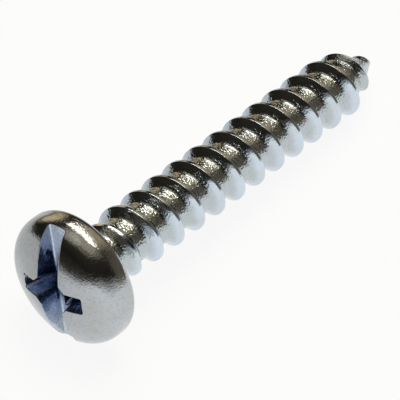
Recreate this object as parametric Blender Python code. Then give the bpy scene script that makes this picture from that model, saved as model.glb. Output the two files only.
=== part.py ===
"""A pan-head sheet metal screw with a slot-and-cross drive, lying as it comes to rest.

Units are metres, +Z is up. The screw is one cold-formed piece, so it is one object.
It is drawn along its own axis: x = 0 is the underside of the head, +x runs to the point,
-x to the crown, and angles are counted about +x from the side of the screw that faces down.
It is then tipped onto the rim of its head and a thread crest, with the origin at the
bottom centre of its bounding box.
"""
import math

import bpy
import bmesh
from mathutils import Matrix, Vector

MM = 0.001

# Head
HEAD_DIAMETER = 9.6 * MM
HEAD_HEIGHT = 3.5 * MM
HEAD_SIDE_HEIGHT = 1.05 * MM
SHOULDER_RADIUS = 1.7 * MM
RIM_RADIUS = 0.6 * MM

# Neck and seat under the head
NECK_FILLET_RADIUS = 0.45 * MM
NECK_OVERLAP = 0.15 * MM
SEAT_CLEARANCE = 0.55 * MM

# Slot across the head
SLOT_FLOOR_WIDTH = 1.5 * MM
SLOT_DEPTH = 1.75 * MM
SLOT_WALL_DRAFT = math.radians(7)

# Cross recess
RECESS_DIAMETER = 5.3 * MM
RECESS_DEPTH = 2.5 * MM
RECESS_TAPER = math.radians(26.5)
WING_WIDTH = 1.28 * MM
WING_FLOOR_WIDTH = 0.8 * MM
CORE_RADIUS = 1.3 * MM
CORE_FLOOR_RADIUS = 0.75 * MM
RECESS_POINT_DEPTH = 0.2 * MM

# Threaded shank
LENGTH = 30.45 * MM
THREAD_DIAMETER = 4.83 * MM
ROOT_DIAMETER = 3.56 * MM
THREAD_PITCH = 2.117 * MM
CREST_WIDTH = 0.22 * MM
FLANK_ANGLE = math.radians(34)
ROOT_FILLET_RADIUS = 0.3 * MM
RUN_IN_START = 0.1 * MM
RUN_IN_LENGTH = 3.6 * MM
POINT_LENGTH = 3.6 * MM
POINT_FULLNESS = 0.72

# Angles about the axis, from the side that faces down
DRIVE_ANGLE = math.radians(-11)
THREAD_START_ANGLE = math.radians(123.2)

# Fineness of the mesh
HEAD_SIDES = 28
THREAD_SIDES = 24
RIM_STEPS = 4
SHOULDER_STEPS = 5
CROWN_STEPS = 7
NECK_STEPS = 4
ROOT_FILLET_STEPS = 2
SMALLEST_EDGE = 0.12 * MM
MERGE_DISTANCE = 0.0001 * MM
CUTTER_MARGIN = 0.5 * MM
SHARP_EDGE_ANGLE = math.radians(38)

# Bright zinc plate
ZINC_COLOR = (0.62, 0.63, 0.65, 1.0)
ZINC_ROUGHNESS = 0.28

HEAD_RADIUS = HEAD_DIAMETER / 2
ROOT_RADIUS = ROOT_DIAMETER / 2
THREAD_RADIUS = THREAD_DIAMETER / 2
SHANK_START = -(HEAD_HEIGHT - SLOT_DEPTH)


def arc(centre_x, centre_r, radius, start, end, steps):
    """Points (x, r) on an arc; 0 points away from the axis and 90 degrees to the crown."""
    points = []
    for step in range(steps + 1):
        angle = start + (end - start) * step / steps
        x = centre_x - radius * math.sin(angle)
        r = centre_r + radius * math.cos(angle)
        points.append((x, r))
    return points


def crown_radius():
    """The crown's radius: it is tangent to the shoulder and closes the head at its height."""
    rise = HEAD_HEIGHT - HEAD_SIDE_HEIGHT
    reach = HEAD_RADIUS - SHOULDER_RADIUS
    return (rise ** 2 + reach ** 2 - SHOULDER_RADIUS ** 2) / (2 * (rise - SHOULDER_RADIUS))


def dome_height(r):
    """Height of the dome over the underside, at a distance r from the axis."""
    radius = crown_radius()
    return HEAD_HEIGHT - radius + math.sqrt(radius ** 2 - r ** 2)


def neck_profile():
    """The fillet under the head, from inside the shank out to the seat."""
    last_angle = math.radians(70)
    fillet = arc(NECK_FILLET_RADIUS, ROOT_RADIUS + NECK_FILLET_RADIUS, NECK_FILLET_RADIUS,
                 math.pi / 2 + last_angle, math.pi / 2, NECK_STEPS)
    x, r = fillet[0]
    inner_r = ROOT_RADIUS - NECK_OVERLAP
    inner_x = x + (r - inner_r) * math.tan(last_angle)
    return [(inner_x, 0.0), (inner_x, inner_r)] + fillet


def head_profile():
    """Half section of the head and neck, from the axis at the neck to the crown's middle."""
    seat_inner = THREAD_RADIUS + SEAT_CLEARANCE
    rim = arc(-RIM_RADIUS, HEAD_RADIUS - RIM_RADIUS, RIM_RADIUS, -math.pi / 2, 0.0, RIM_STEPS)
    radius = crown_radius()
    crown_x = -(HEAD_HEIGHT - radius)
    blend = math.atan2(crown_x + HEAD_SIDE_HEIGHT, HEAD_RADIUS - SHOULDER_RADIUS)
    shoulder = arc(-HEAD_SIDE_HEIGHT, HEAD_RADIUS - SHOULDER_RADIUS, SHOULDER_RADIUS,
                   0.0, blend, SHOULDER_STEPS)
    crown = arc(crown_x, 0.0, radius, blend, math.pi / 2, CROWN_STEPS)
    return neck_profile() + [(0.0, seat_inner)] + rim + shoulder + crown[1:]


def down_vector(angle):
    """Unit vector square to the axis, at an angle from the side that faces down."""
    return Vector((0.0, math.sin(angle), -math.cos(angle)))


def finish_mesh(bm, name):
    """Close, orient and shade a mesh."""
    bmesh.ops.remove_doubles(bm, verts=bm.verts, dist=MERGE_DISTANCE)
    bmesh.ops.recalc_face_normals(bm, faces=bm.faces)
    mesh = bpy.data.meshes.new(name)
    bm.to_mesh(mesh)
    bm.free()
    mesh.shade_smooth()
    mesh.set_sharp_from_angle(angle=SHARP_EDGE_ANGLE)
    return mesh


def head_mesh():
    """The head and neck, turned from their half section with one facet facing down."""
    bm = bmesh.new()
    half_facet = down_vector(math.pi / HEAD_SIDES)
    verts = [bm.verts.new(Vector((x, 0.0, 0.0)) + r * half_facet) for x, r in head_profile()]
    edges = [bm.edges.new(pair) for pair in zip(verts, verts[1:])]
    bmesh.ops.spin(bm, geom=verts + edges, cent=(0, 0, 0), axis=(1, 0, 0),
                   angle=math.tau, steps=HEAD_SIDES)
    return finish_mesh(bm, "head")


def thread_rows():
    """One pitch of the thread as (x from the crest's middle, share of the thread's height)."""
    height = THREAD_RADIUS - ROOT_RADIUS
    slope = math.tan(FLANK_ANGLE)
    crest_end = CREST_WIDTH / 2
    foot = crest_end + height * slope
    turn = math.pi / 2 - FLANK_ANGLE
    centre_x = foot + ROOT_FILLET_RADIUS * math.tan(turn / 2)
    half = [(crest_end, 1.0)]
    for step in range(ROOT_FILLET_STEPS + 1):
        angle = turn * (1 - step / ROOT_FILLET_STEPS)
        x = centre_x - ROOT_FILLET_RADIUS * math.sin(angle)
        rise = ROOT_FILLET_RADIUS * (1 - math.cos(angle))
        half.append((x, rise / height))
    mirrored = [(-x, share) for x, share in reversed(half)]
    return mirrored + half


def shank_radius(x, share):
    """Radius at x for a share of the thread's height: it runs in and ends in a point."""
    run_in = min(max((x - RUN_IN_START) / RUN_IN_LENGTH, 0.0), 1.0)
    point = min((LENGTH - x) / POINT_LENGTH, 1.0) ** POINT_FULLNESS
    return point * (ROOT_RADIUS + (THREAD_RADIUS - ROOT_RADIUS) * share * run_in)


def shank_vertex(x, share, angle):
    """A point of the shank; past either end it is drawn in to the axis."""
    if x <= SHANK_START:
        return Vector((SHANK_START, 0.0, 0.0))
    if x >= LENGTH - SMALLEST_EDGE:
        return Vector((LENGTH, 0.0, 0.0))
    return Vector((x, 0.0, 0.0)) + shank_radius(x, share) * down_vector(angle)


def shank_column(bm, side):
    """Vertices along the shank at one angle, shifted by that angle's share of a pitch."""
    angle = math.tau * (side + 0.5) / THREAD_SIDES
    first_crest = THREAD_PITCH * (angle - THREAD_START_ANGLE) / math.tau
    first_turn = math.floor(SHANK_START / THREAD_PITCH) - 1
    last_turn = math.ceil(LENGTH / THREAD_PITCH) + 2
    column = []
    for turn in range(first_turn, last_turn):
        for offset, share in thread_rows():
            x = first_crest + turn * THREAD_PITCH + offset
            column.append(bm.verts.new(shank_vertex(x, share, angle)))
    return column


def shank_mesh():
    """The threaded shank: rows that follow the helix, so its crest is an unbroken edge."""
    bm = bmesh.new()
    columns = [shank_column(bm, side) for side in range(THREAD_SIDES)]
    rows_in_turn = len(thread_rows())
    columns.append(columns[0][rows_in_turn:])
    for left, right in zip(columns, columns[1:]):
        rows = min(len(left), len(right)) - 1
        for row in range(rows):
            bm.faces.new((left[row], right[row], right[row + 1], left[row + 1]))
    return finish_mesh(bm, "shank")


def slot_mesh():
    """The slot's cutter: a bar with drafted walls, lying across the head."""
    floor_x = -(HEAD_HEIGHT - SLOT_DEPTH)
    top_x = -(HEAD_HEIGHT + CUTTER_MARGIN)
    floor_half = SLOT_FLOOR_WIDTH / 2
    top_half = floor_half + (floor_x - top_x) * math.tan(SLOT_WALL_DRAFT)
    reach = HEAD_RADIUS + CUTTER_MARGIN
    section = [(floor_x, -floor_half), (floor_x, floor_half), (top_x, top_half), (top_x, -top_half)]
    bm = bmesh.new()
    face = bm.faces.new([bm.verts.new((x, y, -reach)) for x, y in section])
    swept = bmesh.ops.extrude_face_region(bm, geom=[face])
    moved = [item for item in swept["geom"] if isinstance(item, bmesh.types.BMVert)]
    bmesh.ops.translate(bm, verts=moved, vec=(0, 0, 2 * reach))
    return finish_mesh(bm, "slot_cutter")


def cross_ring(bm, x, reach, half_width, core):
    """One section of the cross: four wings, with a chamfer across each inner corner."""
    outline = [(core, -half_width), (reach, -half_width), (reach, half_width), (core, half_width)]
    ring = []
    for quarter in range(4):
        turn = Matrix.Rotation(math.pi / 2 * quarter, 3, "X")
        for along, across in outline:
            ring.append(bm.verts.new(turn @ Vector((x, along, across))))
    return ring


def cross_mesh():
    """The cross recess's cutter: it narrows from above the crown down to a blunt point."""
    mouth_height = dome_height(RECESS_DIAMETER / 2)
    floor_height = HEAD_HEIGHT - RECESS_DEPTH
    top_height = HEAD_HEIGHT + CUTTER_MARGIN
    bm = bmesh.new()
    rings = []
    for height in (top_height, floor_height):
        depth_share = (mouth_height - height) / (mouth_height - floor_height)
        reach = RECESS_DIAMETER / 2 + (height - mouth_height) * math.tan(RECESS_TAPER)
        width = WING_WIDTH + (WING_FLOOR_WIDTH - WING_WIDTH) * depth_share
        core = CORE_RADIUS + (CORE_FLOOR_RADIUS - CORE_RADIUS) * depth_share
        rings.append(cross_ring(bm, -height, reach, width / 2, core))
    top, floor = rings
    bm.faces.new(top)
    point = bm.verts.new((RECESS_POINT_DEPTH - floor_height, 0.0, 0.0))
    for index in range(len(top)):
        following = (index + 1) % len(top)
        bm.faces.new((top[index], top[following], floor[following], floor[index]))
        bm.faces.new((floor[index], floor[following], point))
    return finish_mesh(bm, "cross_cutter")


def zinc_plate():
    """Bright zinc plate."""
    material = bpy.data.materials.new("zinc_plate")
    material.use_nodes = True
    shader = material.node_tree.nodes["Principled BSDF"]
    shader.inputs["Base Color"].default_value = ZINC_COLOR
    shader.inputs["Metallic"].default_value = 1.0
    shader.inputs["Roughness"].default_value = ZINC_ROUGHNESS
    return material


def add_object(name, mesh):
    """Put a mesh into the scene."""
    item = bpy.data.objects.new(name, mesh)
    bpy.context.scene.collection.objects.link(item)
    return item


def add_tool(screw, mesh, operation, roll=0.0):
    """A helper solid that is joined to the screw or cut from it, and stays with it."""
    tool = add_object(mesh.name, mesh)
    tool.rotation_euler.x = roll
    tool.parent = screw
    tool.hide_render = True
    tool.display_type = "WIRE"
    boolean = screw.modifiers.new(mesh.name, "BOOLEAN")
    boolean.operation = operation
    boolean.solver = "EXACT"
    boolean.object = tool


def modelled_points(screw):
    """The finished screw's vertices in its parent's space."""
    bpy.context.view_layer.update()
    evaluated = screw.evaluated_get(bpy.context.evaluated_depsgraph_get())
    mesh = evaluated.to_mesh()
    points = [evaluated.matrix_world @ vertex.co for vertex in mesh.vertices]
    evaluated.to_mesh_clear()
    return points


def slope(low, high):
    """Angle of the line between two points, seen from the side."""
    return math.atan2(high.z - low.z, high.x - low.x)


def resting_tilt(points):
    """Angle of the line that touches the head and the thread from below."""
    middle = (LENGTH - HEAD_HEIGHT) / 2
    behind = [point for point in points if point.x < middle]
    ahead = [point for point in points if point.x >= middle]
    heel = min(behind, key=lambda point: point.z)
    toe = min(ahead, key=lambda point: slope(heel, point))
    heel = max(behind, key=lambda point: slope(point, toe))
    toe = min(ahead, key=lambda point: slope(heel, point))
    return slope(heel, toe)


def lay_down(screw):
    """Tip the screw onto the floor and put its bounding box's bottom centre at the origin."""
    screw.rotation_euler.y = resting_tilt(modelled_points(screw))
    points = modelled_points(screw)
    xs = [point.x for point in points]
    ys = [point.y for point in points]
    lowest = min(point.z for point in points)
    screw.location = (-(min(xs) + max(xs)) / 2, -(min(ys) + max(ys)) / 2, -lowest)


def build():
    """Model the screw."""
    for item in list(bpy.data.objects):
        bpy.data.objects.remove(item)
    screw = add_object("screw", head_mesh())
    screw.data.materials.append(zinc_plate())
    add_tool(screw, shank_mesh(), "UNION")
    add_tool(screw, slot_mesh(), "DIFFERENCE", DRIVE_ANGLE)
    add_tool(screw, cross_mesh(), "DIFFERENCE", DRIVE_ANGLE)
    lay_down(screw)


build()
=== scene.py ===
"""A pan-head sheet metal screw in bright zinc plate, lying on a pale floor.

The screw is drawn along its own axis, as in the solid: x = 0 is the underside of the head,
+x runs to the point, and angles are counted about +x from the side that faces down. Then it
is tipped the way it lies. Lengths are in metres and colours are linear.
"""

import math

import bpy
import bmesh
from mathutils import Matrix, Vector


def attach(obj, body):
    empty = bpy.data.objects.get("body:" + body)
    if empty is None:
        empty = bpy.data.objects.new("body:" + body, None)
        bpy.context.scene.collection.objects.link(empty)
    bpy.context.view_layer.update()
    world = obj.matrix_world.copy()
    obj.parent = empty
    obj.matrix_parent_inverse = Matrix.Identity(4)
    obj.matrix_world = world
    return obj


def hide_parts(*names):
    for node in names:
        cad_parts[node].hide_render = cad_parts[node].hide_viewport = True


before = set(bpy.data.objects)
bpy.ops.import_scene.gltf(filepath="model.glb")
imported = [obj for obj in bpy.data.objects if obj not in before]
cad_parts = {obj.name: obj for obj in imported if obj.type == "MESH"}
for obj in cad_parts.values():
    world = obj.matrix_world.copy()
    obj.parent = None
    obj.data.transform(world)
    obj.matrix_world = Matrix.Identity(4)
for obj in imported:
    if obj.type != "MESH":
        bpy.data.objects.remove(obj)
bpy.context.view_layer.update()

MM = 0.001
QUARTER_TURN = math.pi / 2

# Head
HEAD_DIAMETER = 9.6 * MM
HEAD_HEIGHT = 3.5 * MM
HEAD_SIDE_HEIGHT = 1.05 * MM
SHOULDER_RADIUS = 1.7 * MM
RIM_RADIUS = 0.6 * MM
NECK_FILLET_RADIUS = 0.45 * MM
NECK_FILLET_TURN = math.radians(70)
NECK_OVERLAP = 0.15 * MM
SEAT_CLEARANCE = 0.55 * MM

# Slot and cross recess
SLOT_FLOOR_WIDTH = 1.5 * MM
SLOT_DEPTH = 1.75 * MM
SLOT_WALL_DRAFT = math.radians(7)
SLOT_CORNER_RADIUS = 0.16 * MM
RECESS_DIAMETER = 5.3 * MM
RECESS_DEPTH = 2.5 * MM
RECESS_TAPER = math.radians(26.5)
RECESS_POINT_DEPTH = 0.2 * MM
WING_WIDTH = 1.28 * MM
WING_FLOOR_WIDTH = 0.8 * MM
WING_CORNER_SHARE = 0.22
CORE_RADIUS = 1.3 * MM
CORE_FLOOR_RADIUS = 0.75 * MM
DRIVE_ANGLE = math.radians(-11)

# Thread
LENGTH = 30.45 * MM
THREAD_DIAMETER = 4.83 * MM
ROOT_DIAMETER = 3.56 * MM
THREAD_PITCH = 2.117 * MM
CREST_WIDTH = 0.22 * MM
CREST_EDGE_RADIUS = 0.035 * MM
FLANK_ANGLE = math.radians(34)
ROOT_FILLET_RADIUS = 0.3 * MM
RUN_IN_START = 0.1 * MM
RUN_IN_LENGTH = 3.6 * MM
POINT_LENGTH = 3.6 * MM
POINT_FULLNESS = 0.72
POINT_CLOSING = 0.02 * MM
THREAD_START_ANGLE = math.radians(123.2)

# How it lies
REST_TILT = math.radians(4.95606)
REST_PLACE = Vector((-13.4356, 0.0, 4.7002)) * MM
REST_MATRIX = Matrix.Translation(REST_PLACE) @ Matrix.Rotation(REST_TILT, 4, "Y")

# Fineness of the mesh
HEAD_SIDES = 160
THREAD_SIDES = 96
NECK_FILLET_STEPS = 8
RIM_STEPS = 10
SHOULDER_STEPS = 16
CROWN_STEPS = 24
CREST_EDGE_STEPS = 3
ROOT_FILLET_STEPS = 6
SLOT_CORNER_STEPS = 4
WING_CORNER_STEPS = 3
FLANK_SHARES = (0.25, 0.5, 0.75)
MERGE_DISTANCE = 0.0001 * MM
CUTTER_MARGIN = 0.5 * MM
SHARP_EDGE_ANGLE = math.radians(32)

HEAD_RADIUS = HEAD_DIAMETER / 2
ROOT_RADIUS = ROOT_DIAMETER / 2
THREAD_RADIUS = THREAD_DIAMETER / 2

# The crown is tangent to the shoulder and closes the head at its height.
CROWN_RISE = HEAD_HEIGHT - HEAD_SIDE_HEIGHT
SHOULDER_REACH = HEAD_RADIUS - SHOULDER_RADIUS
CROWN_RADIUS = ((CROWN_RISE ** 2 + SHOULDER_REACH ** 2 - SHOULDER_RADIUS ** 2)
                / (2 * (CROWN_RISE - SHOULDER_RADIUS)))
CROWN_CENTRE_HEIGHT = HEAD_HEIGHT - CROWN_RADIUS
CROWN_EDGE_ANGLE = math.atan2(HEAD_SIDE_HEIGHT - CROWN_CENTRE_HEIGHT, SHOULDER_REACH)

# The shank's core starts inside the head, at the slot's floor.
SLOT_FLOOR_X = -(HEAD_HEIGHT - SLOT_DEPTH)
SHANK_START = SLOT_FLOOR_X

# The zones of the plating, in the order of FINISHES
HEAD_ZONE, RECESS_ZONE, SHANK_ZONE = range(3)
ZONE_TOLERANCE = 0.02 * MM

# Tints and relief are stops along the distance from the screw's axis, as a share of the
# head's radius. Waves, pits and grain are (cells in a metre, height).
FINISHES = (
    {"name": "zinc_head",
     "tints": [(0.3, (0.40, 0.415, 0.425, 1.0)), (0.9, (0.49, 0.515, 0.525, 1.0))],
     "roughness": (0.10, 0.17),
     "waves": (1300.0, 0.003 * MM),
     "pits": (4000.0, 0.003 * MM),
     "grain": (7000.0, 0.012 * MM),
     "grain_detail": 1.5,
     "relief": [(0.72, 0.6), (0.95, 1.0)],
     "edge_radius": 0.10 * MM,
     "speck_depth": 0.13},
    {"name": "zinc_recess_painted_shade",
     # Painted shade: the recess's tint darkens to deep navy towards its deep middle.
     "tints": [(0.25, (0.06, 0.10, 0.20, 1.0)), (0.44, (0.44, 0.51, 0.63, 1.0)),
               (0.62, (0.54, 0.60, 0.68, 1.0))],
     "roughness": (0.10, 0.20),
     "waves": (1500.0, 0.03 * MM),
     "pits": (1900.0, 0.003 * MM),
     "grain": (5500.0, 0.014 * MM),
     "grain_detail": 1.5,
     "relief": [(0.0, 1.0), (1.0, 1.0)],
     "edge_radius": 0.10 * MM,
     "speck_depth": 0.15},
    {"name": "zinc_shank_painted_shade",
     # Painted shade: the shank's tint is darker and greyer in the thread's roots than towards
     # the crests.
     "tints": [(0.38, (0.49, 0.54, 0.56, 1.0)), (0.46, (0.61, 0.69, 0.76, 1.0))],
     "roughness": (0.05, 0.10),
     "waves": (1700.0, 0.010 * MM),
     "pits": (1900.0, 0.003 * MM),
     "grain": (6500.0, 0.040 * MM),
     "grain_detail": 1.2,
     "relief": [(0.385, 1.0), (0.44, 0.35), (0.49, 0.2)],
     "edge_radius": 0.03 * MM,
     "speck_depth": 0.05},
)

# Patterns that all finishes share, as (cells in a metre, detail, roughness of the noise)
CLOUD_NOISE = (1100.0, 4.0, 0.6)
WARMTH_NOISE = (520.0, 3.0, 0.55)
SPECK_NOISE = (5600.0, 2.0, 0.6)
SMEAR_NOISE = (2600.0, 4.0, 0.6)

# Detail and roughness of the noise in the waves, and roughness of that in the grain
WAVE_NOISE_SHAPE = (2.0, 0.4)
GRAIN_NOISE_ROUGHNESS = 0.5

# How far the clouds move the tints, as a share of the tints' span
CLOUD_DRIFT = 0.9

# Between which values of its pattern each change takes place
WARMTH_STOPS = [(0.36, (0.97, 0.96, 0.93, 1.0)), (0.64, (1.02, 1.03, 1.07, 1.0))]
SPECK_RANGE = (0.36, 0.50)
SMEAR_RANGE = (0.35, 0.65)
PIT_RANGE = (0.02, 0.13)

BEVEL_SAMPLES = 6

# Floor: a white sheet. Past its edges, reflections alone show a painted dark reflection of a
# table, and towards its back edge the sheet darkens by steps in reflections alone, which is
# painted shade. The sheet ends to both sides of its middle, with its near end spread towards
# the camera, and behind the screw. Its stops are shares of the scale, from sheet (0) to
# painted table (1).
FLOOR_RADIUS = 3.0
FLOOR_SIDES = 64
FLOOR_COLOUR = (0.95, 0.955, 0.965, 1.0)
FLOOR_WHITE = (1.0, 1.0, 1.0, 1.0)
FLOOR_WHITE_SHARE = 0.90
# Colour of the painted reflection of a dark table, which only glossy rays see
PAINTED_TABLE_REFLECTION = (0.05, 0.042, 0.03, 1.0)
SHEET_MIDDLE_X = 8 * MM
SHEET_SPREAD_TO_CAMERA = 2.5
SHEET_END_SCALE = 0.1
SHEET_END_STOPS = [(0.48, 0.0), (0.86, 1.0)]
SHEET_BACK_SCALE = 0.15
SHEET_BACK_STOPS = [(0.0, 0.0), (0.10, 0.28), (0.35, 0.35), (0.45, 0.50), (0.65, 1.0)]

# Room: pale low on the camera's side, dark round the walls and lighter overhead. Its colour
# runs with height, and WALL_LIFT is how much higher it is read away from the camera's side.
OPEN_SIDE_AZIMUTH = -110
OPEN_SIDE_STOPS = [(0.45, 1.0), (0.85, 0.0)]
WALL_LIFT = 0.4
ROOM_STOPS = [(0.0, (0.80, 0.82, 0.85, 1.0)),
              (0.071, (0.60, 0.61, 0.62, 1.0)),
              (0.157, (0.34, 0.34, 0.335, 1.0)),
              (0.214, (0.18, 0.175, 0.165, 1.0)),
              (0.286, (0.030, 0.026, 0.020, 1.0)),
              (0.421, (0.016, 0.015, 0.011, 1.0)),
              (0.564, (0.026, 0.022, 0.016, 1.0)),
              (0.80, (0.034, 0.029, 0.022, 1.0)),
              (0.907, (0.18, 0.16, 0.12, 1.0)),
              (0.979, (0.45, 0.40, 0.31, 1.0))]

# Soft glows in the room: azimuth, elevation, inner and outer angle in degrees, and colour
ROOM_GLOWS = ((4, 46, 6, 30, (0.38, 0.305, 0.20, 1.0)),
              (66, 12, 3, 21, (0.80, 0.61, 0.36, 1.0)),
              (-30, 5, 10, 48, (0.13, 0.11, 0.082, 1.0)),
              (120, 62, 8, 26, (0.26, 0.25, 0.22, 1.0)))

# Camera, as fitted to the photo's outline
CAMERA_PLACE = Vector((-94.784, -82.151, 132.958)) * MM
CAMERA_RIGHT = Vector((0.6586, -0.75248, -0.00457))
CAMERA_UP = Vector((0.548, 0.47545, 0.68822))
CAMERA_FORWARD = Vector((0.5157, 0.45577, -0.72549))
CAMERA_SENSOR_WIDTH = 36.0
CAMERA_LENS = 234.0
CAMERA_CLIP_START = 0.01


def arc(centre_x, centre_r, radius, start, end, steps):
    """Points (x, r) on an arc; 0 points away from the axis and 90 degrees to the crown."""
    points = []
    for step in range(steps + 1):
        angle = start + (end - start) * step / steps
        points.append((centre_x - radius * math.sin(angle),
                       centre_r + radius * math.cos(angle)))
    return points


def dome_height(r):
    """Height of the crown over the underside, at a distance r from the axis."""
    return CROWN_CENTRE_HEIGHT + math.sqrt(CROWN_RADIUS ** 2 - r ** 2)


def head_profile():
    """Half section of the head and neck, from the axis at the neck to the crown's middle."""
    fillet = arc(NECK_FILLET_RADIUS, ROOT_RADIUS + NECK_FILLET_RADIUS, NECK_FILLET_RADIUS,
                 QUARTER_TURN + NECK_FILLET_TURN, QUARTER_TURN, NECK_FILLET_STEPS)
    x, r = fillet[0]
    inner_r = ROOT_RADIUS - NECK_OVERLAP
    inner_x = x + (r - inner_r) * math.tan(NECK_FILLET_TURN)
    neck = [(inner_x, 0.0), (inner_x, inner_r)] + fillet
    seat = (0.0, THREAD_RADIUS + SEAT_CLEARANCE)
    rim = arc(-RIM_RADIUS, HEAD_RADIUS - RIM_RADIUS, RIM_RADIUS,
              -QUARTER_TURN, 0.0, RIM_STEPS)
    shoulder = arc(-HEAD_SIDE_HEIGHT, SHOULDER_REACH, SHOULDER_RADIUS,
                   0.0, CROWN_EDGE_ANGLE, SHOULDER_STEPS)
    crown = arc(-CROWN_CENTRE_HEIGHT, 0.0, CROWN_RADIUS,
                CROWN_EDGE_ANGLE, QUARTER_TURN, CROWN_STEPS)
    return neck + [seat] + rim + shoulder + crown[1:]


def down_vector(angle):
    """Unit vector square to the axis, at an angle from the side that faces down."""
    return Vector((0.0, math.sin(angle), -math.cos(angle)))


def finish_mesh(bm, name):
    """Close, orient and shade a mesh."""
    bmesh.ops.remove_doubles(bm, verts=bm.verts, dist=MERGE_DISTANCE)
    bmesh.ops.recalc_face_normals(bm, faces=bm.faces)
    mesh = bpy.data.meshes.new(name)
    bm.to_mesh(mesh)
    bm.free()
    mesh.shade_smooth()
    mesh.set_sharp_from_angle(angle=SHARP_EDGE_ANGLE)
    return mesh


def head_mesh():
    """The head and neck, turned from their half section."""
    bm = bmesh.new()
    verts = [bm.verts.new((x, 0.0, -r)) for x, r in head_profile()]
    edges = [bm.edges.new(pair) for pair in zip(verts, verts[1:])]
    bmesh.ops.spin(bm, geom=verts + edges, cent=(0, 0, 0), axis=(1, 0, 0),
                   angle=math.tau, steps=HEAD_SIDES)
    return finish_mesh(bm, "head")


def thread_rows():
    """One pitch of the thread as (x from the crest's middle, share of the thread's height)."""
    height = THREAD_RADIUS - ROOT_RADIUS
    turn = QUARTER_TURN - FLANK_ANGLE
    edge_x = CREST_WIDTH / 2 - CREST_EDGE_RADIUS * math.tan(turn / 2)
    half = [(edge_x / 2, 1.0)]
    for step in range(CREST_EDGE_STEPS + 1):
        angle = turn * step / CREST_EDGE_STEPS
        drop = CREST_EDGE_RADIUS * (1 - math.cos(angle))
        half.append((edge_x + CREST_EDGE_RADIUS * math.sin(angle), 1.0 - drop / height))
    foot = CREST_WIDTH / 2 + height * math.tan(FLANK_ANGLE)
    centre_x = foot + ROOT_FILLET_RADIUS * math.tan(turn / 2)
    fillet = []
    for step in range(ROOT_FILLET_STEPS + 1):
        angle = turn * (1 - step / ROOT_FILLET_STEPS)
        rise = ROOT_FILLET_RADIUS * (1 - math.cos(angle))
        fillet.append((centre_x - ROOT_FILLET_RADIUS * math.sin(angle), rise / height))
    start, end = half[-1], fillet[0]
    for share in FLANK_SHARES:
        half.append((start[0] + (end[0] - start[0]) * share,
                     start[1] + (end[1] - start[1]) * share))
    half += fillet
    half.append(((fillet[-1][0] + THREAD_PITCH / 2) / 2, 0.0))
    mirrored = [(-x, share) for x, share in reversed(half)]
    return mirrored + half


def shank_radius(x, share):
    """Radius at x for a share of the thread's height: it runs in and ends in a point."""
    run_in = min(max((x - RUN_IN_START) / RUN_IN_LENGTH, 0.0), 1.0)
    point = min((LENGTH - x) / POINT_LENGTH, 1.0) ** POINT_FULLNESS
    return point * (ROOT_RADIUS + (THREAD_RADIUS - ROOT_RADIUS) * share * run_in)


def shank_mesh():
    """The threaded shank: rows that follow the helix, so its crest is an unbroken edge.

    The rows run past both ends, where they close in one point each.
    """
    bm = bmesh.new()
    rows_in_turn = thread_rows()
    first_turn = math.floor(SHANK_START / THREAD_PITCH) - 1
    last_turn = math.ceil(LENGTH / THREAD_PITCH) + 2
    columns = []
    for side in range(THREAD_SIDES):
        angle = math.tau * (side + 0.5) / THREAD_SIDES
        first_crest = THREAD_PITCH * (angle - THREAD_START_ANGLE) / math.tau
        column = []
        for turn in range(first_turn, last_turn):
            for offset, share in rows_in_turn:
                x = first_crest + turn * THREAD_PITCH + offset
                if x <= SHANK_START:
                    place = Vector((SHANK_START, 0.0, 0.0))
                elif x >= LENGTH - POINT_CLOSING:
                    place = Vector((LENGTH, 0.0, 0.0))
                else:
                    radius = shank_radius(x, share)
                    place = Vector((x, 0.0, 0.0)) + radius * down_vector(angle)
                column.append(bm.verts.new(place))
        columns.append(column)
    columns.append(columns[0][len(rows_in_turn):])
    for left, right in zip(columns, columns[1:]):
        for row in range(min(len(left), len(right)) - 1):
            bm.faces.new((left[row], right[row], right[row + 1], left[row + 1]))
    return finish_mesh(bm, "shank")


def slot_section():
    """The slot's half section as (x, distance from its middle), with a small round inside."""
    top_x = -(HEAD_HEIGHT + CUTTER_MARGIN)
    floor_half = SLOT_FLOOR_WIDTH / 2
    top_half = floor_half + (SLOT_FLOOR_X - top_x) * math.tan(SLOT_WALL_DRAFT)
    turn = QUARTER_TURN - SLOT_WALL_DRAFT
    centre_x = SLOT_FLOOR_X - SLOT_CORNER_RADIUS
    centre_w = floor_half - SLOT_CORNER_RADIUS * math.tan(turn / 2)
    points = []
    for step in range(SLOT_CORNER_STEPS + 1):
        angle = turn * step / SLOT_CORNER_STEPS
        points.append((centre_x + SLOT_CORNER_RADIUS * math.cos(angle),
                       centre_w + SLOT_CORNER_RADIUS * math.sin(angle)))
    points.append((top_x, top_half))
    return points


def slot_mesh():
    """The slot's cutter: a bar with drafted walls, lying across the head."""
    half = slot_section()
    section = [(x, -w) for x, w in reversed(half)] + half
    reach = HEAD_RADIUS + CUTTER_MARGIN
    bm = bmesh.new()
    face = bm.faces.new([bm.verts.new((x, w, -reach)) for x, w in section])
    swept = bmesh.ops.extrude_face_region(bm, geom=[face])
    moved = [item for item in swept["geom"] if isinstance(item, bmesh.types.BMVert)]
    bmesh.ops.translate(bm, verts=moved, vec=(0, 0, 2 * reach))
    return finish_mesh(bm, "slot_cutter")


def wing_outline(reach, half_width, core):
    """One wing of the cross, from one inner corner round its end to the other."""
    corner = WING_CORNER_SHARE * half_width
    points = [(core, -half_width)]
    for step in range(WING_CORNER_STEPS + 1):
        angle = -QUARTER_TURN + QUARTER_TURN * step / WING_CORNER_STEPS
        points.append((reach - corner + corner * math.cos(angle),
                       -half_width + corner + corner * math.sin(angle)))
    mirrored = [(along, -across) for along, across in reversed(points)]
    return points + mirrored


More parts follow.
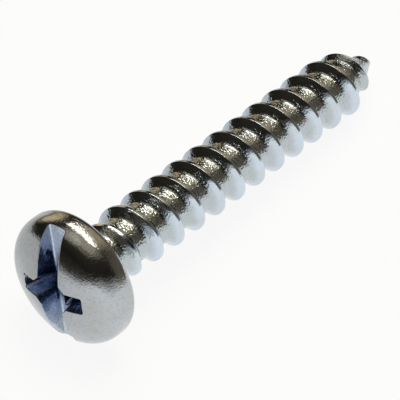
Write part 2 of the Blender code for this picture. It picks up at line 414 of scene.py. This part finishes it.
def cross_mesh():
    """The cross recess's cutter: it narrows from above the crown down to a blunt point."""
    mouth_height = dome_height(RECESS_DIAMETER / 2)
    floor_height = HEAD_HEIGHT - RECESS_DEPTH
    top_height = HEAD_HEIGHT + CUTTER_MARGIN
    bm = bmesh.new()
    rings = []
    for height in (top_height, floor_height):
        depth_share = (mouth_height - height) / (mouth_height - floor_height)
        reach = RECESS_DIAMETER / 2 + (height - mouth_height) * math.tan(RECESS_TAPER)
        width = WING_WIDTH + (WING_FLOOR_WIDTH - WING_WIDTH) * depth_share
        core = CORE_RADIUS + (CORE_FLOOR_RADIUS - CORE_RADIUS) * depth_share
        outline = wing_outline(reach, width / 2, core)
        ring = []
        for quarter in range(4):
            turn = Matrix.Rotation(QUARTER_TURN * quarter, 3, "X")
            ring += [bm.verts.new(turn @ Vector((-height, a, b))) for a, b in outline]
        rings.append(ring)
    top, floor = rings
    bm.faces.new(top)
    point = bm.verts.new((RECESS_POINT_DEPTH - floor_height, 0.0, 0.0))
    for index in range(len(top)):
        following = (index + 1) % len(top)
        bm.faces.new((top[index], top[following], floor[following], floor[index]))
        bm.faces.new((floor[index], floor[following], point))
    return finish_mesh(bm, "cross_cutter")


def add_object(name, data):
    """Put a mesh, a lamp or a camera into the scene."""
    item = bpy.data.objects.new(name, data)
    bpy.context.scene.collection.objects.link(item)
    return item


def combine(item, mesh, operation, roll=0.0):
    """Join a helper solid to an object, or cut it away, and drop the helper."""
    tool = add_object(mesh.name, mesh)
    tool.rotation_euler.x = roll
    boolean = item.modifiers.new(mesh.name, "BOOLEAN")
    boolean.operation = operation
    boolean.solver = "EXACT"
    boolean.object = tool
    bpy.context.view_layer.update()
    evaluated = item.evaluated_get(bpy.context.evaluated_depsgraph_get())
    result = bpy.data.meshes.new_from_object(evaluated)
    item.modifiers.clear()
    item.data = result
    bpy.data.objects.remove(tool)


def screw_piece():
    """The whole screw, tipped the way it lies."""
    piece = add_object("zinc_screw", head_mesh())
    combine(piece, shank_mesh(), "UNION")
    combine(piece, slot_mesh(), "DIFFERENCE", DRIVE_ANGLE)
    combine(piece, cross_mesh(), "DIFFERENCE", DRIVE_ANGLE)
    piece.data.shade_smooth()
    piece.data.set_sharp_from_angle(angle=SHARP_EDGE_ANGLE)
    piece.data.transform(REST_MATRIX)
    return piece


def grey(value):
    """A neutral colour."""
    return (value, value, value, 1.0)


class Nodes:
    """A short way to build a node tree."""

    def __init__(self, tree):
        self.tree = tree

    def add(self, kind, inputs=None, **settings):
        """A node of one kind, with its settings, and its inputs set or linked."""
        node = self.tree.nodes.new(kind)
        for name, value in settings.items():
            setattr(node, name, value)
        for name, value in (inputs or {}).items():
            if isinstance(value, bpy.types.NodeSocket):
                self.tree.links.new(value, node.inputs[name])
            else:
                node.inputs[name].default_value = value
        return node

    def ramp(self, factor, stops, interpolation="LINEAR"):
        """A colour ramp; each stop is a position with a colour or a grey value."""
        stops = [(position, grey(value) if isinstance(value, float) else value)
                 for position, value in stops]
        node = self.add("ShaderNodeValToRGB", {"Fac": factor})
        node.color_ramp.interpolation = interpolation
        elements = node.color_ramp.elements
        elements[0].position, elements[0].color = stops[0]
        elements[1].position, elements[1].color = stops[-1]
        for position, colour in stops[1:-1]:
            elements.new(position).color = colour
        return node.outputs["Color"]

    def math(self, operation, first, second):
        """A sum, product or other operation on two numbers."""
        node = self.add("ShaderNodeMath", {0: first, 1: second}, operation=operation)
        return node.outputs["Value"]

    def colour_math(self, operation, first, second):
        """A sum, product or other operation on two colours or vectors."""
        node = self.add("ShaderNodeVectorMath", {0: first, 1: second}, operation=operation)
        return node.outputs["Vector"]

    def dot(self, first, second):
        """The dot product of two vectors."""
        node = self.add("ShaderNodeVectorMath", {0: first, 1: second},
                        operation="DOT_PRODUCT")
        return node.outputs["Value"]

    def noise(self, place, scale, detail, roughness):
        """Soft noise between about 0.3 and 0.7."""
        node = self.add("ShaderNodeTexNoise", {"Vector": place, "Scale": scale,
                                               "Detail": detail, "Roughness": roughness})
        return node.outputs["Fac"]


def place_and_reach(make):
    """The shaded point, and its distance from the screw's axis."""
    place = make.add("ShaderNodeTexCoord").outputs["Object"]
    turned = make.add("ShaderNodeVectorRotate",
                      {"Vector": make.colour_math("SUBTRACT", place, REST_PLACE),
                       "Angle": -REST_TILT}, rotation_type="Y_AXIS")
    parts = make.add("ShaderNodeSeparateXYZ", {0: turned.outputs["Vector"]})
    sideways = make.add("ShaderNodeCombineXYZ", {"Y": parts.outputs["Y"],
                                                 "Z": parts.outputs["Z"]})
    reach = make.add("ShaderNodeVectorMath", {0: sideways.outputs["Vector"]},
                     operation="LENGTH")
    return place, reach.outputs["Value"]


def zinc_plate(name, tints, roughness, waves, pits, grain, grain_detail, relief,
               edge_radius, speck_depth):
    """Bright zinc plate: cloudy tints with fine specks, over soft waves, pits and grain.

    The clouds shift where the tints change; in the recess and the shank the tints darken
    inwards, which is painted shade. Relief is the strength of all three bumps.
    """
    material = bpy.data.materials.new(name)
    material.use_nodes = True
    make = Nodes(material.node_tree)
    links = material.node_tree.links
    shader = material.node_tree.nodes["Principled BSDF"]
    place, reach = place_and_reach(make)
    outwards = make.math("DIVIDE", reach, HEAD_RADIUS)

    clouds = make.math("SUBTRACT", make.noise(place, *CLOUD_NOISE), 0.5)
    drift = make.math("MULTIPLY", clouds, (tints[-1][0] - tints[0][0]) * CLOUD_DRIFT)
    tint = make.ramp(make.math("ADD", outwards, drift), tints)
    warmth = make.ramp(make.noise(place, *WARMTH_NOISE), WARMTH_STOPS)
    tint = make.colour_math("MULTIPLY", tint, warmth)
    specks = make.ramp(make.noise(place, *SPECK_NOISE),
                       list(zip(SPECK_RANGE, (1.0 - speck_depth, 1.0))))
    tint = make.colour_math("MULTIPLY", tint, specks)
    links.new(tint, shader.inputs["Base Color"])
    shader.inputs["Metallic"].default_value = 1.0

    smears = make.ramp(make.noise(place, *SMEAR_NOISE), list(zip(SMEAR_RANGE, roughness)))
    links.new(smears, shader.inputs["Roughness"])

    strength = make.ramp(outwards, relief)
    wave_bump = make.noise(place, waves[0], *WAVE_NOISE_SHAPE)
    cells = make.add("ShaderNodeTexVoronoi", {"Vector": place, "Scale": pits[0]})
    pit_bump = make.ramp(cells.outputs["Distance"], list(zip(PIT_RANGE, (0.0, 1.0))), "EASE")
    grain_bump = make.noise(place, grain[0], grain_detail, GRAIN_NOISE_ROUGHNESS)
    normal = make.add("ShaderNodeBevel", {"Radius": edge_radius},
                      samples=BEVEL_SAMPLES).outputs["Normal"]
    for bump, height in ((wave_bump, waves[1]), (pit_bump, pits[1]), (grain_bump, grain[1])):
        normal = make.add("ShaderNodeBump", {"Strength": strength, "Distance": height,
                                             "Height": bump,
                                             "Normal": normal}).outputs["Normal"]
    links.new(normal, shader.inputs["Normal"])
    return material


def depth_below_dome(point):
    """How far a point in the screw's own frame lies under the head's uncut surface."""
    r = math.hypot(point.y, point.z)
    height = -point.x
    over_centre = height - CROWN_CENTRE_HEIGHT
    if math.atan2(over_centre, r) >= CROWN_EDGE_ANGLE:
        return CROWN_RADIUS - math.hypot(r, over_centre)
    if height >= HEAD_SIDE_HEIGHT:
        return SHOULDER_RADIUS - math.hypot(r - SHOULDER_REACH, height - HEAD_SIDE_HEIGHT)
    return HEAD_RADIUS - r


def paint_zones(item):
    """Give the head, its slot and recess, and the shank their own finish."""
    item.data.materials.clear()
    for finish in FINISHES:
        item.data.materials.append(zinc_plate(**finish))
    to_own_frame = REST_MATRIX.inverted()
    for face in item.data.polygons:
        centre = to_own_frame @ face.center
        if centre.x > ZONE_TOLERANCE:
            face.material_index = SHANK_ZONE
        elif centre.x < -RIM_RADIUS and depth_below_dome(centre) > ZONE_TOLERANCE:
            face.material_index = RECESS_ZONE
        else:
            face.material_index = HEAD_ZONE


def seen_directly(make):
    """1 where a surface is seen straight, in a reflection or through glass."""
    path = make.add("ShaderNodeLightPath")
    seen = make.math("MAXIMUM", path.outputs["Is Camera Ray"], path.outputs["Is Glossy Ray"])
    return make.math("MAXIMUM", seen, path.outputs["Is Transmission Ray"])


def painted_reflection_mask(make):
    """Where reflections are painted dark: 0 on the white sheet, 1 on the painted table past
    its ends and past its back edge.
    """
    place = make.add("ShaderNodeTexCoord").outputs["Object"]
    parts = make.add("ShaderNodeSeparateXYZ", {0: place})
    ahead = make.math("SUBTRACT", parts.outputs["X"], SHEET_MIDDLE_X)
    nearer = make.math("MULTIPLY", make.math("MINIMUM", parts.outputs["Y"], 0.0),
                       SHEET_SPREAD_TO_CAMERA)
    offset = make.math("MAXIMUM", ahead, make.math("SUBTRACT", nearer, ahead))
    end = make.ramp(make.math("DIVIDE", offset, SHEET_END_SCALE), SHEET_END_STOPS)
    back = make.ramp(make.math("DIVIDE", parts.outputs["Y"], SHEET_BACK_SCALE),
                     SHEET_BACK_STOPS)
    return make.math("MAXIMUM", end, back)


def floor_piece():
    """A white sheet that keeps a faint shadow, with a painted dark reflection of a table past
    it, which only glossy rays see.
    """
    bm = bmesh.new()
    bmesh.ops.create_circle(bm, cap_ends=True, segments=FLOOR_SIDES, radius=FLOOR_RADIUS)
    floor = add_object("floor", finish_mesh(bm, "floor"))
    material = bpy.data.materials.new("white_floor")
    material.use_nodes = True
    make = Nodes(material.node_tree)
    material.node_tree.nodes.clear()
    matt = make.add("ShaderNodeBsdfDiffuse", {"Color": FLOOR_COLOUR})
    glow = make.add("ShaderNodeEmission", {"Color": FLOOR_WHITE, "Strength": 1.0})
    share = make.math("MULTIPLY", seen_directly(make), FLOOR_WHITE_SHARE)
    sheet = make.add("ShaderNodeMixShader", {0: share, 1: matt.outputs[0],
                                             2: glow.outputs[0]})
    # Painted reflection: a dark emission that glossy rays alone see past the sheet.
    painted_dark_reflection = make.add("ShaderNodeEmission", {"Color": PAINTED_TABLE_REFLECTION, "Strength": 1.0})
    glossy = make.add("ShaderNodeLightPath").outputs["Is Glossy Ray"]
    painted_reflection_share = make.math("MULTIPLY", painted_reflection_mask(make), glossy)
    mix = make.add("ShaderNodeMixShader", {0: painted_reflection_share, 1: sheet.outputs[0],
                                           2: painted_dark_reflection.outputs[0]})
    make.add("ShaderNodeOutputMaterial", {"Surface": mix.outputs[0]})
    floor.data.materials.append(material)


def toward(azimuth, elevation):
    """The unit vector of a direction given in degrees."""
    azimuth, elevation = math.radians(azimuth), math.radians(elevation)
    flat = math.cos(elevation)
    return Vector((flat * math.cos(azimuth), flat * math.sin(azimuth), math.sin(elevation)))


def glow_patch(make, direction, azimuth, elevation, inner, outer, colour):
    """A soft round glow in the room, which fades from its inner to its outer angle."""
    near = make.dot(direction, toward(azimuth, elevation))
    stops = [(math.cos(math.radians(outer)), grey(0.0)),
             (math.cos(math.radians(inner)), colour)]
    return make.ramp(near, stops, "EASE")


def studio_world():
    """The room round the floor, which the metal mirrors."""
    world = bpy.data.worlds.new("studio")
    bpy.context.scene.world = world
    world.use_nodes = True
    world.node_tree.nodes.clear()
    make = Nodes(world.node_tree)
    direction = make.add("ShaderNodeTexCoord").outputs["Generated"]
    height = make.add("ShaderNodeSeparateXYZ", {0: direction}).outputs["Z"]
    side = make.ramp(make.dot(direction, toward(OPEN_SIDE_AZIMUTH, 0)), OPEN_SIDE_STOPS)
    lifted = make.math("ADD", height, make.math("MULTIPLY", side, WALL_LIFT))
    colour = make.ramp(make.math("DIVIDE", lifted, 1.0 + WALL_LIFT), ROOM_STOPS, "EASE")
    for glow in ROOM_GLOWS:
        colour = make.colour_math("ADD", colour, glow_patch(make, direction, *glow))
    back = make.add("ShaderNodeBackground", {"Color": colour, "Strength": 1.0})
    make.add("ShaderNodeOutputWorld", {"Surface": back.outputs[0]})


def lamp(name, azimuth, elevation, distance, size, radiance, colour, roll=0.0):
    """A soft rectangular lamp, wide and high, placed by direction and facing the screw."""
    place = toward(azimuth, elevation) * distance
    light = bpy.data.lights.new(name, "AREA")
    light.shape = "RECTANGLE"
    light.size, light.size_y = size
    light.energy = radiance * math.pi * size[0] * size[1]
    light.color = colour
    item = add_object(name, light)
    item.location = place
    facing = (-place).to_track_quat("-Z", "Y").to_matrix()
    turned = facing @ Matrix.Rotation(math.radians(roll), 3, "Z")
    item.rotation_euler = turned.to_euler()
    return item


def studio_lamps():
    """A long warm lamp that the metal mirrors, and a wide white one that it doesn't."""
    lamp("ceiling_lamp", azimuth=25.0, elevation=62.0, distance=0.6, size=(0.58, 0.145),
         radiance=4.2, colour=(1.0, 0.92, 0.77), roll=-35.0)
    fill = lamp("fill_lamp", azimuth=30.0, elevation=80.0, distance=0.8, size=(0.6, 0.6),
                radiance=2.2, colour=(1.0, 1.0, 1.0))
    fill.visible_glossy = False


def photo_camera():
    """The camera, at the photo's viewing angle."""
    camera_data = bpy.data.cameras.new("camera")
    camera_data.sensor_width = CAMERA_SENSOR_WIDTH
    camera_data.lens = CAMERA_LENS
    camera_data.clip_start = CAMERA_CLIP_START
    camera = add_object("camera", camera_data)
    camera.location = CAMERA_PLACE
    axes = Matrix((CAMERA_RIGHT, CAMERA_UP, -CAMERA_FORWARD)).transposed()
    camera.rotation_euler = axes.to_euler()
    bpy.context.scene.camera = camera


screw = screw_piece()
paint_zones(screw)
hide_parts("screw")
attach(screw, "root")

floor_piece()
studio_world()
studio_lamps()
photo_camera()
bpy.context.scene.view_settings.view_transform = "Standard"
